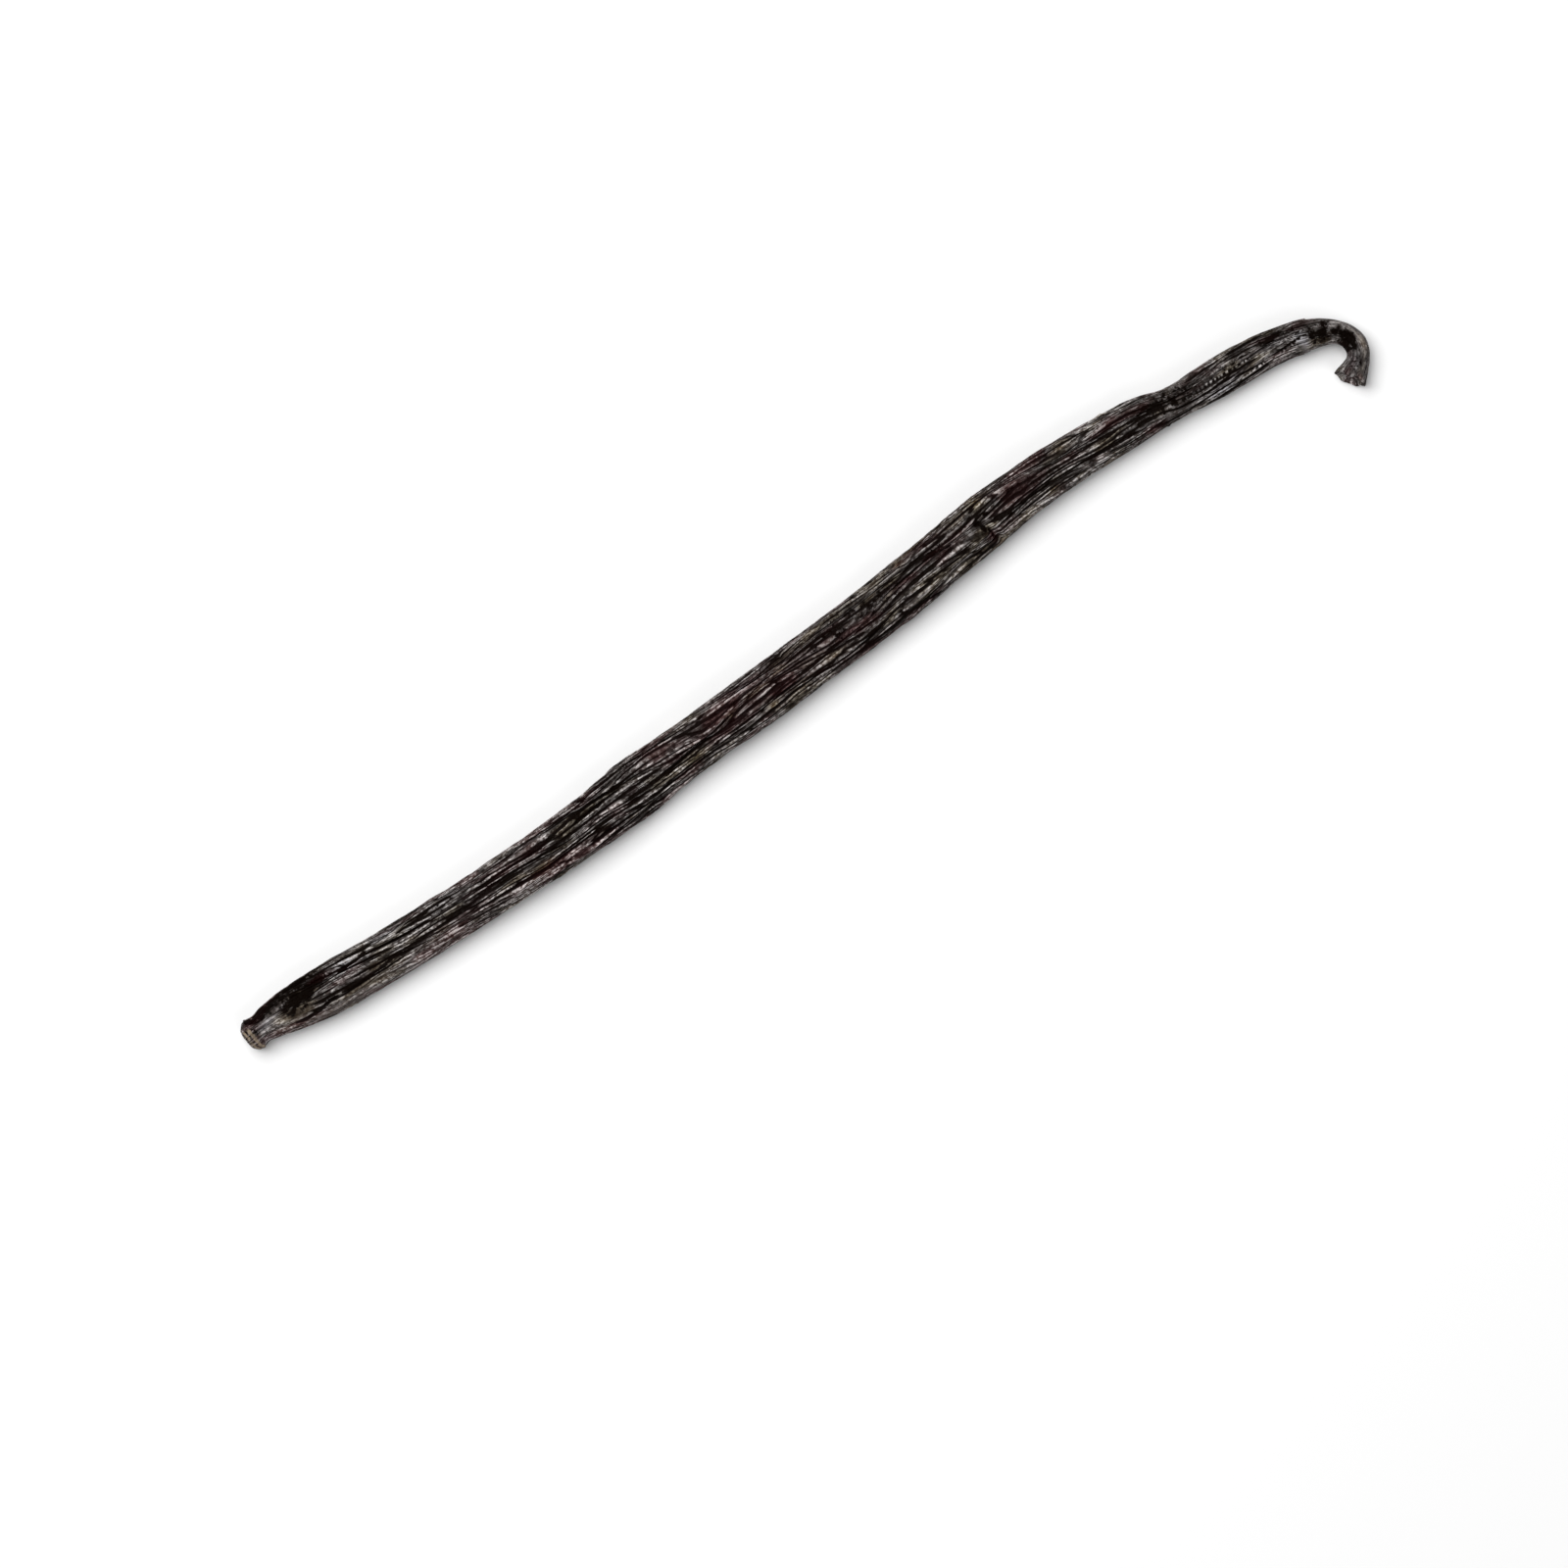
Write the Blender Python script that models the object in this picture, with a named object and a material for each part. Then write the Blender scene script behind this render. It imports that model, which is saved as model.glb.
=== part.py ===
"""A cured vanilla bean lying on its belly: one wrinkled pod with its hooked stem and blossom-end scar.

It grew as one piece, so it is one solid. +X runs from the blossom end to the stem, +Z is up, and
the bean rests on Z = 0. The driving sizes below are in millimetres, and the mesh is in metres.
"""

import math

import bmesh
import bpy
import numpy as np
from mathutils import Vector, noise

MM = 0.001
NUDGE = 0.01  # a short step along the spine, which its direction is read from

# Places along the spine: x, y, half width, half thickness, and how far the belly is over the
# surface. Where that is below zero, the belly is pressed flat.
STATIONS = (
    (0.00, 0.35, 1.92, 1.60, 0.45),  # blossom-end scar
    (0.65, 0.40, 2.16, 1.78, 0.30),  # flared lip round it
    (1.80, 0.52, 1.92, 1.55, 0.45),  # neck
    (3.60, 0.60, 2.25, 1.65, 0.40),
    (6.50, 0.45, 2.72, 1.80, 0.25),
    (10.0, 0.12, 3.10, 2.00, 0.10),
    (18.0, -0.38, 3.20, 2.15, -0.12),
    (30.0, -0.73, 3.13, 2.30, -0.30),  # first flat spot
    (41.0, -0.88, 3.30, 2.25, -0.08),
    (50.0, -0.65, 3.52, 2.20, 0.04),
    (57.5, -0.02, 3.78, 2.15, 0.02),  # widest
    (62.0, 0.32, 3.44, 2.30, -0.05),
    (72.0, 0.70, 3.48, 2.45, -0.22),
    (84.0, 1.20, 3.45, 2.40, -0.32),  # middle flat spot
    (96.0, 2.00, 3.50, 2.25, -0.15),
    (105.0, 3.05, 3.45, 2.40, 0.02),
    (110.0, 3.63, 3.50, 2.28, 0.03),
    (114.0, 4.00, 3.27, 2.35, -0.05),
    (120.0, 4.22, 3.16, 2.25, -0.25),
    (127.0, 4.03, 2.95, 2.15, -0.30),  # last flat spot
    (133.5, 3.62, 2.70, 1.95, -0.10),
    (137.8, 3.00, 2.18, 1.85, 0.05),  # waist
    (142.0, 2.73, 2.38, 1.85, 0.00),
    (148.0, 2.42, 2.45, 1.85, -0.02),
    (151.5, 2.10, 2.24, 1.75, 0.05),
    (155.5, 1.20, 2.02, 1.55, 0.20),  # the pod ends and its stem begins
    (157.8, 0.32, 1.74, 1.40, 0.35),
    (159.3, -0.65, 1.46, 1.28, 0.50),
    (160.2, -1.85, 1.42, 1.22, 0.60),
    (160.5, -3.05, 1.45, 1.20, 0.65),
    (160.25, -4.20, 1.40, 1.18, 0.65),
    (159.7, -5.00, 1.42, 1.18, 0.60),
    (158.8, -5.72, 1.66, 1.22, 0.50),
    (157.6, -6.44, 2.05, 1.42, 0.25),  # flared foot of the stem
)
FULL_HALF_WIDTH = 3.4
SQUARENESS = 2.2  # 2 would make each ring an ellipse
LOBES = 3
LOBE_SHARE = 0.02
LOBE_RUN = 45.0

# How far apart the rings of points are, by their distance from the blossom end.
RING_GAPS = (
    (0.0, 0.34),
    (2.0, 0.70),
    (12.0, 3.3),
    (106.5, 3.3),
    (109.5, 0.52),
    (112.0, 0.52),
    (115.0, 3.3),
    (130.0, 3.0),
    (138.0, 2.3),
    (151.0, 2.3),
    (155.6, 0.65),
    (157.2, 0.65),
    (159.0, 1.1),
    (166.0, 0.9),
    (170.0, 0.6),
)

# Furrows run the length of the bean, with a ridge between each two.
FURROWS = 24
FURROW_GAP = math.tau / FURROWS
POINTS_A_FURROW = 3
FURROW_DEPTH = 0.46
# As shares of it: the middle depth, how far noise moves a furrow from that, and the least depth.
MIDDLE_DEPTH, DEPTH_SWING, LEAST_DEPTH = 0.5, 1.2, 0.15
FURROW_RUN = 10.0  # how far a furrow keeps its depth
WANDER_SHARE = 0.95  # of the gap between two furrows
WANDER_RUN = 10.0
FLOW_TURN = 0.45  # radians that all furrows swing together
FLOW_RUN = 34.0
LUMP_HEIGHT = 0.12
LUMP_RUN = 7.0
PRESSED_HEIGHT = 0.25  # furrows fade out below this height over the surface

# How many times the noise changes from the bean's middle to its skin, and where it is read.
WANDER_REACH, WANDER_SEED = 2.6, 0.3
DEPTH_REACH, DEPTH_SEED = 6.0, 9.7
FLOW_REACH, FLOW_SEED = 0.0, 17.3
LUMP_REACH, LUMP_SEED = 1.3, 25.6
BREAK_REACH, BREAK_SEED = 2.2, 31.4

# The pod's ridges end in swollen lobes round the stem, whose own furrows are fainter.
POD_END = 156.6
POD_END_LOBES = 5
POD_END_LOBE_LENGTH = 0.35
POD_END_SWELL = 0.16
POD_END_RUN = 1.5
STEM_FURROWS = 0.5  # their depth, as a share of the pod's

# Patches with few furrows: distance along, angle in degrees (0 at +Y, 90 on top), half length,
# half breadth in degrees, and the share of the furrows' depth that is lost.
SMOOTH_PATCHES = (
    (19.0, 158.0, 17.0, 34.0, 0.85),
    (4.5, 95.0, 2.5, 40.0, 0.7),
)

# Hollows: the same, with a depth last.
HOLLOWS = (
    (9.5, 68.0, 3.8, 20.0, 0.75),
    (17.0, 117.0, 11.0, 7.0, 0.34),
    (25.0, 70.0, 12.0, 6.0, 0.24),
    (52.0, 74.0, 10.0, 8.0, 0.22),
    (104.0, 66.0, 9.0, 9.0, 0.20),
    (139.0, 60.0, 5.0, 20.0, 0.16),
    (161.0, 105.0, 2.2, 26.0, 0.20),
)

# The crease that pinches one side of the pod.
CREASE_AT = 110.3
CREASE_ANGLES = (92.0, 168.0)
CREASE_SLANT = 0.9  # how far it runs along the pod from its top end to its low one
CREASE_HALF_WIDTH = 0.52
CREASE_DEPTH = 0.62

# The closed ends: share of the last ring's size, and how far the ring is sunk into the end.
END_RINGS = ((0.84, -0.04), (0.66, 0.30))
END_SINK = 0.34
END_SLANTS = (0.5, 0.7)  # how far the belly's edge juts out past the back's at each end
END_SLANT_RUN = 1.6
FOOT_RAGGEDNESS = 0.36

POD_COLOUR = (0.030, 0.022, 0.019, 1.0)
POD_ROUGHNESS = 0.42


def clear_scene():
    for obj in list(bpy.data.objects):
        bpy.data.objects.remove(obj)


def noise_round(turn, reach, along, seed):
    """Smooth noise from about -1 to 1, wrapped round the bean and running along it."""
    x, y, z = np.broadcast_arrays(np.cos(turn) * reach + seed, np.sin(turn) * reach, along + seed)
    values = [noise.noise(Vector(p)) for p in zip(x.flat, y.flat, z.flat)]
    return np.array(values).reshape(x.shape)


def curve_through(knots, values, places):
    """A smooth curve through one row of values at each knot, read at the places."""
    slopes = np.gradient(values, knots, axis=0)
    i = np.clip(np.searchsorted(knots, places, side="right") - 1, 0, len(knots) - 2)
    gap = (knots[i + 1] - knots[i])[:, None]
    t = ((places - knots[i])[:, None]) / gap
    rise = values[i + 1] - values[i]
    start, end = slopes[i] * gap, slopes[i + 1] * gap
    return values[i] + t * start + t**2 * (3 * rise - 2 * start - end) + t**3 * (start + end - 2 * rise)


def ring_places(length):
    """Distances from the blossom end to each ring, by RING_GAPS."""
    at, gaps = np.array(RING_GAPS).T
    places = [0.0]
    while places[-1] < length:
        places.append(places[-1] + np.interp(places[-1], at, gaps))
    return np.array(places) * length / places[-1]


def spine():
    """The distance to each ring, the stations' values there, and the direction of the spine."""
    stations = np.array(STATIONS)
    steps = np.linalg.norm(np.diff(stations[:, :2], axis=0), axis=1)
    knots = np.concatenate([[0.0], np.cumsum(steps)])
    places = ring_places(knots[-1])
    rows = curve_through(knots, stations, places)
    ahead = curve_through(knots, stations, np.minimum(places + NUDGE, knots[-1]))
    behind = curve_through(knots, stations, np.maximum(places - NUDGE, 0.0))
    along = (ahead - behind)[:, :2]
    along /= np.linalg.norm(along, axis=1)[:, None]
    return places, rows, along


def furrow_angles(track, place):
    """The angle of each furrow round the bean at each place. Track counts furrows round it."""
    turn = track * FURROW_GAP
    wander = noise_round(turn, WANDER_REACH, place / WANDER_RUN, WANDER_SEED)
    flow = noise_round(0.0, FLOW_REACH, place / FLOW_RUN, FLOW_SEED)
    return turn + FLOW_TURN * flow + FURROW_GAP * WANDER_SHARE * wander


def furrow_depths(track, place):
    swing = noise_round(track * FURROW_GAP, DEPTH_REACH, place / FURROW_RUN, DEPTH_SEED)
    return FURROW_DEPTH * np.clip(MIDDLE_DEPTH + DEPTH_SWING * swing, LEAST_DEPTH, 1.0)


def furrow_relief(track, place):
    """Depth of the skin at a place round the bean that may lie between two furrows."""
    left = np.floor(track)
    share = track - left
    fall_left = np.clip(1 - 2 * share, 0, 1) ** 2
    fall_right = np.clip(2 * share - 1, 0, 1) ** 2
    return furrow_depths(left, place) * fall_left + furrow_depths(left + 1, place) * fall_right


def angle_from(angle, degrees):
    """How far each angle is from one in degrees, the short way round, in degrees."""
    return (np.degrees(angle) - degrees + 180.0) % 360.0 - 180.0


def spots(angle, place, table):
    """The sum of the table's spots at each place round the bean, each one fading from its middle."""
    total = np.zeros(np.broadcast(angle, place).shape)
    for at, degrees, half_length, half_breadth, most in table:
        off = ((place - at) / half_length) ** 2 + (angle_from(angle, degrees) / half_breadth) ** 2
        total += most * np.exp(-off)
    return total


def pod_end_relief(angle, place):
    """The swelling of the pod's last ridges, and the share of their depth that furrows keep."""
    end = POD_END + POD_END_LOBE_LENGTH * np.cos(POD_END_LOBES * angle)
    past = place - end
    swell = np.where(past < 0, np.exp(-((past / POD_END_RUN) ** 2)), 0.0)
    return POD_END_SWELL * swell, np.where(past < 0, 1.0, STEM_FURROWS)


def crease_relief(angle, place):
    top, low = CREASE_ANGLES
    share = (np.degrees(angle) % 360.0 - top) / (low - top)
    ends = np.clip(1 - (2 * share - 1) ** 4, 0, 1)
    line = CREASE_AT + CREASE_SLANT * share
    return CREASE_DEPTH * ends * np.exp(-(((place - line) / CREASE_HALF_WIDTH) ** 2))


def smooth_skin(rows, angle, place):
    """Each ring before its relief: how far sideways and up its points are, and which way they face."""
    half_width, half_thickness, lift = (column[:, None] for column in rows.T[2:])
    cosine, sine = np.cos(angle), np.sin(angle)
    lobes = 1 + LOBE_SHARE * np.cos(LOBES * angle + place / LOBE_RUN * math.tau)
    power = 2 / SQUARENESS
    sideways = half_width * np.sign(cosine) * np.abs(cosine) ** power * lobes
    upward = half_thickness * np.sign(sine) * np.abs(sine) ** power * lobes
    facing = np.stack([cosine / half_width, sine / half_thickness])
    facing /= np.linalg.norm(facing, axis=0)
    return sideways, upward + half_thickness + lift, facing


def relief(track, angle, place, girth, height):
    """How deep the skin lies under the smooth one."""
    swelling, share = pod_end_relief(angle, place)
    share = share * np.clip(height / PRESSED_HEIGHT, 0, 1)
    share = share * (1 - spots(angle, place, SMOOTH_PATCHES))
    lumps = LUMP_HEIGHT * noise_round(angle, LUMP_REACH, place / LUMP_RUN, LUMP_SEED)
    depth = girth * (furrow_relief(track, place) * share + lumps)
    return depth + spots(angle, place, HOLLOWS) + crease_relief(angle, place) - swelling


def skin_points(places, rows, along):
    """Points of the bean's skin in millimetres, one row for each ring."""
    track = np.arange(FURROWS * POINTS_A_FURROW)[None, :] / POINTS_A_FURROW
    place = places[:, None]
    angle = furrow_angles(track, place)
    sideways, height, facing = smooth_skin(rows, angle, place)
    depth = relief(track, angle, place, rows[:, 2:3] / FULL_HALF_WIDTH, height)
    sideways = sideways - depth * facing[0]
    height = np.maximum(height - depth * facing[1], 0.0)
    x = rows[:, 0:1] - sideways * along[:, 1:2]
    y = rows[:, 1:2] + sideways * along[:, 0:1]
    return np.stack([x, y, height], axis=2)


def slant_ends(points, along, places):
    """Turns both end faces a little upwards, the blossom end's first."""
    share = 0.5 - points[:, :, 2] / points[:, :, 2].max(axis=1, keepdims=True)
    blossom_end = -END_SLANTS[0] * np.exp(-places / END_SLANT_RUN)
    stem_end = END_SLANTS[1] * np.exp((places - places[-1]) / END_SLANT_RUN)
    slant = share * (blossom_end + stem_end)[:, None]
    points[:, :, :2] += along[:, None, :] * slant[:, :, None]


def roughen_foot(points, along):
    """Moves the last ring in and out along the stem, so that the break is ragged."""
    turn = np.linspace(0, math.tau, points.shape[1], endpoint=False)
    ragged = FOOT_RAGGEDNESS * noise_round(turn, BREAK_REACH, 0.0, BREAK_SEED)
    points[-1, :, :2] += along[-1] * ragged[:, None]


def end_rings(ring, outward):
    """The rings that close an end, and its middle point, from the outer ring inwards."""
    centre = ring.mean(axis=0)
    direction = np.array([*outward, 0.0])
    rings = [centre + (ring - centre) * share - direction * sunk for share, sunk in END_RINGS]
    return rings, centre - direction * END_SINK


def join_rings(bm, first, second):
    for i in range(len(first)):
        j = (i + 1) % len(first)
        bm.faces.new((first[i], first[j], second[j], second[i]))


def close_end(bm, outer, ring, outward):
    rings, middle = end_rings(ring, outward)
    for inner in rings:
        made = [bm.verts.new(p * MM) for p in inner]
        join_rings(bm, outer, made)
        outer = made
    tip = bm.verts.new(middle * MM)
    for i in range(len(outer)):
        bm.faces.new((outer[i], outer[(i + 1) % len(outer)], tip))


def bean_mesh():
    places, rows, along = spine()
    points = skin_points(places, rows, along)
    slant_ends(points, along, places)
    roughen_foot(points, along)
    bm = bmesh.new()
    rings = [[bm.verts.new(p * MM) for p in ring] for ring in points]
    for first, second in zip(rings, rings[1:]):
        join_rings(bm, first, second)
    close_end(bm, rings[0], points[0], -along[0])
    close_end(bm, rings[-1], points[-1], along[-1])
    bmesh.ops.triangulate(bm, faces=bm.faces)
    bmesh.ops.recalc_face_normals(bm, faces=bm.faces)
    mesh = bpy.data.meshes.new("vanilla_bean")
    bm.to_mesh(mesh)
    bm.free()
    return mesh


def centre_on_origin(mesh):
    """Puts the middle of the mesh's box over the origin and leaves its height as it is."""
    points = np.array([v.co for v in mesh.vertices])
    middle = (points.min(axis=0) + points.max(axis=0)) / 2
    for vertex in mesh.vertices:
        vertex.co.x -= middle[0]
        vertex.co.y -= middle[1]


def pod_material():
    material = bpy.data.materials.new("cured_pod")
    material.use_nodes = True
    shader = material.node_tree.nodes["Principled BSDF"]
    shader.inputs["Base Color"].default_value = POD_COLOUR
    shader.inputs["Roughness"].default_value = POD_ROUGHNESS
    shader.inputs["Metallic"].default_value = 0.0
    material.diffuse_color = POD_COLOUR
    return material


def main():
    clear_scene()
    mesh = bean_mesh()
    centre_on_origin(mesh)
    mesh.shade_smooth()
    mesh.materials.append(pod_material())
    bean = bpy.data.objects.new("vanilla_bean", mesh)
    bpy.context.scene.collection.objects.link(bean)


main()
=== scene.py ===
"""The looks of the cured vanilla bean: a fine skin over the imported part's form, its oily brown
finish, a pale floor, soft studio light and a camera that looks straight down.

Sizes are in millimetres until they become points of a mesh, and the part's own tables are repeated
here, so that the fine skin has the part's form.
"""

import math

import bpy
import numpy as np
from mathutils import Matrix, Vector, noise


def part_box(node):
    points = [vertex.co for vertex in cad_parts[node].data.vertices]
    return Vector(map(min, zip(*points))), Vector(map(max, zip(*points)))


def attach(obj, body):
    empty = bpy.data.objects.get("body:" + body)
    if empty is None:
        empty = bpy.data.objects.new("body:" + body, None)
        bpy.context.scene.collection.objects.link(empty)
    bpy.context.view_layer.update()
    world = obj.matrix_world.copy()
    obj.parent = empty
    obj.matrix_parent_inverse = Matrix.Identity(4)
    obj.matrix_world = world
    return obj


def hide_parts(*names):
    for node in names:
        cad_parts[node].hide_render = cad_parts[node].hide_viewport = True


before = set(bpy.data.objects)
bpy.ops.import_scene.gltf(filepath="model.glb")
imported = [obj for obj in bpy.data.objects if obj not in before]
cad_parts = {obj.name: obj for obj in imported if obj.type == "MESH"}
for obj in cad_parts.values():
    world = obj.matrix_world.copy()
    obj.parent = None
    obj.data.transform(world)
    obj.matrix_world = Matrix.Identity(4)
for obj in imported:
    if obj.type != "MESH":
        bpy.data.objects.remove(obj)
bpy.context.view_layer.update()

MM = 0.001
NUDGE = 0.01  # a short step along the spine, which its direction is read from

# The part's form.

# Places along the spine: x, y, half width, half thickness, and how far the belly is over the
# surface. Where that is below zero, the belly is pressed flat.
STATIONS = (
    (0.00, 0.35, 1.92, 1.60, 0.45),  # blossom-end scar
    (0.65, 0.40, 2.16, 1.78, 0.30),  # flared lip round it
    (1.80, 0.52, 1.92, 1.55, 0.45),  # neck
    (3.60, 0.60, 2.25, 1.65, 0.40),
    (6.50, 0.45, 2.72, 1.80, 0.25),
    (10.0, 0.12, 3.10, 2.00, 0.10),
    (18.0, -0.38, 3.20, 2.15, -0.12),
    (30.0, -0.73, 3.13, 2.30, -0.30),  # first flat spot
    (41.0, -0.88, 3.30, 2.25, -0.08),
    (50.0, -0.65, 3.52, 2.20, 0.04),
    (57.5, -0.02, 3.78, 2.15, 0.02),  # widest
    (62.0, 0.32, 3.44, 2.30, -0.05),
    (72.0, 0.70, 3.48, 2.45, -0.22),
    (84.0, 1.20, 3.45, 2.40, -0.32),  # middle flat spot
    (96.0, 2.00, 3.50, 2.25, -0.15),
    (105.0, 3.05, 3.45, 2.40, 0.02),
    (110.0, 3.63, 3.50, 2.28, 0.03),
    (114.0, 4.00, 3.27, 2.35, -0.05),
    (120.0, 4.22, 3.16, 2.25, -0.25),
    (127.0, 4.03, 2.95, 2.15, -0.30),  # last flat spot
    (133.5, 3.62, 2.70, 1.95, -0.10),
    (137.8, 3.00, 2.18, 1.85, 0.05),  # waist
    (142.0, 2.73, 2.38, 1.85, 0.00),
    (148.0, 2.42, 2.45, 1.85, -0.02),
    (151.5, 2.10, 2.24, 1.75, 0.05),
    (155.5, 1.20, 2.02, 1.55, 0.20),  # the pod ends and its stem begins
    (157.8, 0.32, 1.74, 1.40, 0.35),
    (159.3, -0.65, 1.46, 1.28, 0.50),
    (160.2, -1.85, 1.42, 1.22, 0.60),
    (160.5, -3.05, 1.45, 1.20, 0.65),
    (160.25, -4.20, 1.40, 1.18, 0.65),
    (159.7, -5.00, 1.42, 1.18, 0.60),
    (158.8, -5.72, 1.66, 1.22, 0.50),
    (157.6, -6.44, 2.05, 1.42, 0.25),  # flared foot of the stem
)
FULL_HALF_WIDTH = 3.4
SQUARENESS = 2.2  # 2 would make each ring an ellipse
LOBES = 3
LOBE_SHARE = 0.02
LOBE_RUN = 45.0

FURROWS = 24
FURROW_GAP = math.tau / FURROWS
FURROW_DEPTH = 0.46
# As shares of it: the middle depth, how far noise moves a furrow from that, and the least depth.
MIDDLE_DEPTH, DEPTH_SWING, LEAST_DEPTH = 0.5, 1.2, 0.15
FURROW_RUN = 10.0  # how far a furrow keeps its depth
WANDER_SHARE = 0.95  # of the gap between two furrows
WANDER_RUN = 10.0
FLOW_TURN = 0.45  # radians that all furrows swing together
FLOW_RUN = 34.0
LUMP_HEIGHT = 0.12
LUMP_RUN = 7.0
PRESSED_HEIGHT = 0.25  # furrows fade out below this height over the surface

# How many times the noise changes from the bean's middle to its skin, and where it is read.
WANDER_REACH, WANDER_SEED = 2.6, 0.3
DEPTH_REACH, DEPTH_SEED = 6.0, 9.7
FLOW_REACH, FLOW_SEED = 0.0, 17.3
LUMP_REACH, LUMP_SEED = 1.3, 25.6
BREAK_REACH, BREAK_SEED = 2.2, 31.4

POD_END = 156.6
POD_END_LOBES = 5
POD_END_LOBE_LENGTH = 0.35
POD_END_SWELL = 0.16
POD_END_RUN = 1.5
STEM_FURROWS = 0.5  # their depth, as a share of the pod's

# Patches with few furrows: distance along, angle in degrees (0 at +Y, 90 on top), half length,
# half breadth in degrees, and the share of the furrows' depth that is lost.
SMOOTH_PATCHES = (
    (19.0, 158.0, 17.0, 34.0, 0.85),
    (4.5, 95.0, 2.5, 40.0, 0.7),
)

# Hollows: the same, with a depth last.
HOLLOWS = (
    (9.5, 68.0, 3.8, 20.0, 0.75),
    (17.0, 117.0, 11.0, 7.0, 0.34),
    (25.0, 70.0, 12.0, 6.0, 0.24),
    (52.0, 74.0, 10.0, 8.0, 0.22),
    (104.0, 66.0, 9.0, 9.0, 0.20),
    (139.0, 60.0, 5.0, 20.0, 0.16),
    (161.0, 105.0, 2.2, 26.0, 0.20),
)

CREASE_AT = 110.3
CREASE_ANGLES = (92.0, 168.0)
CREASE_SLANT = 0.9  # how far it runs along the pod from its top end to its low one
CREASE_HALF_WIDTH = 0.52
CREASE_DEPTH = 0.62

END_SLANTS = (0.5, 0.7)  # how far the belly's edge juts out past the back's at each end
END_SLANT_RUN = 1.6
FOOT_RAGGEDNESS = 0.36

# The fine skin.

# How far apart the rings of points are, by their distance from the blossom end.
RING_GAPS = (
    (0.0, 0.11),
    (2.2, 0.16),
    (4.0, 0.38),
    (108.0, 0.38),
    (109.4, 0.16),
    (111.8, 0.16),
    (113.0, 0.38),
    (154.0, 0.38),
    (155.5, 0.16),
    (158.0, 0.16),
    (160.0, 0.28),
    (166.0, 0.25),
    (167.5, 0.15),
)
# Where the points of one furrow lie, as shares of the way to the next one.
FURROW_POINTS = (0.0, 0.1, 0.25, 0.4, 0.5, 0.6, 0.75, 0.9)
SLIT_SHARE = 0.55  # of a furrow's depth, which is in a narrow slit along its bottom
SLIT_HALF_WIDTH = 0.13  # as a share of the gap between two furrows

# Each ridge has a thinner furrow along its top, which comes and goes.
RIDGE_SLIT_HALF_WIDTH = 0.10
RIDGE_SLIT_DEPTH = 0.24
RIDGE_SLIT_MIDDLE, RIDGE_SLIT_SWING = 0.65, 1.3  # shares of it, as for the furrows
RIDGE_SLIT_RUN = 6.0
RIDGE_SLIT_REACH, RIDGE_SLIT_SEED = 7.0, 33.7

# Small bends of every furrow, on top of its wander.
BEND_SHARE = 0.16
BEND_REACH, BEND_RUN, BEND_SEED = 8.0, 4.5, 47.1

# Fine wrinkles: reach round the bean, run along it, half width, depth, and seed.
WRINKLES = (
    (6.5, 6.5, 0.10, 0.11, 53.2),
)
# Short bumps along the ridges: reach, run, height, and seed.
BUMPS = (
    (2.6, 1.9, 0.07, 61.8),
    (6.0, 0.8, 0.035, 72.4),
)

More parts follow.
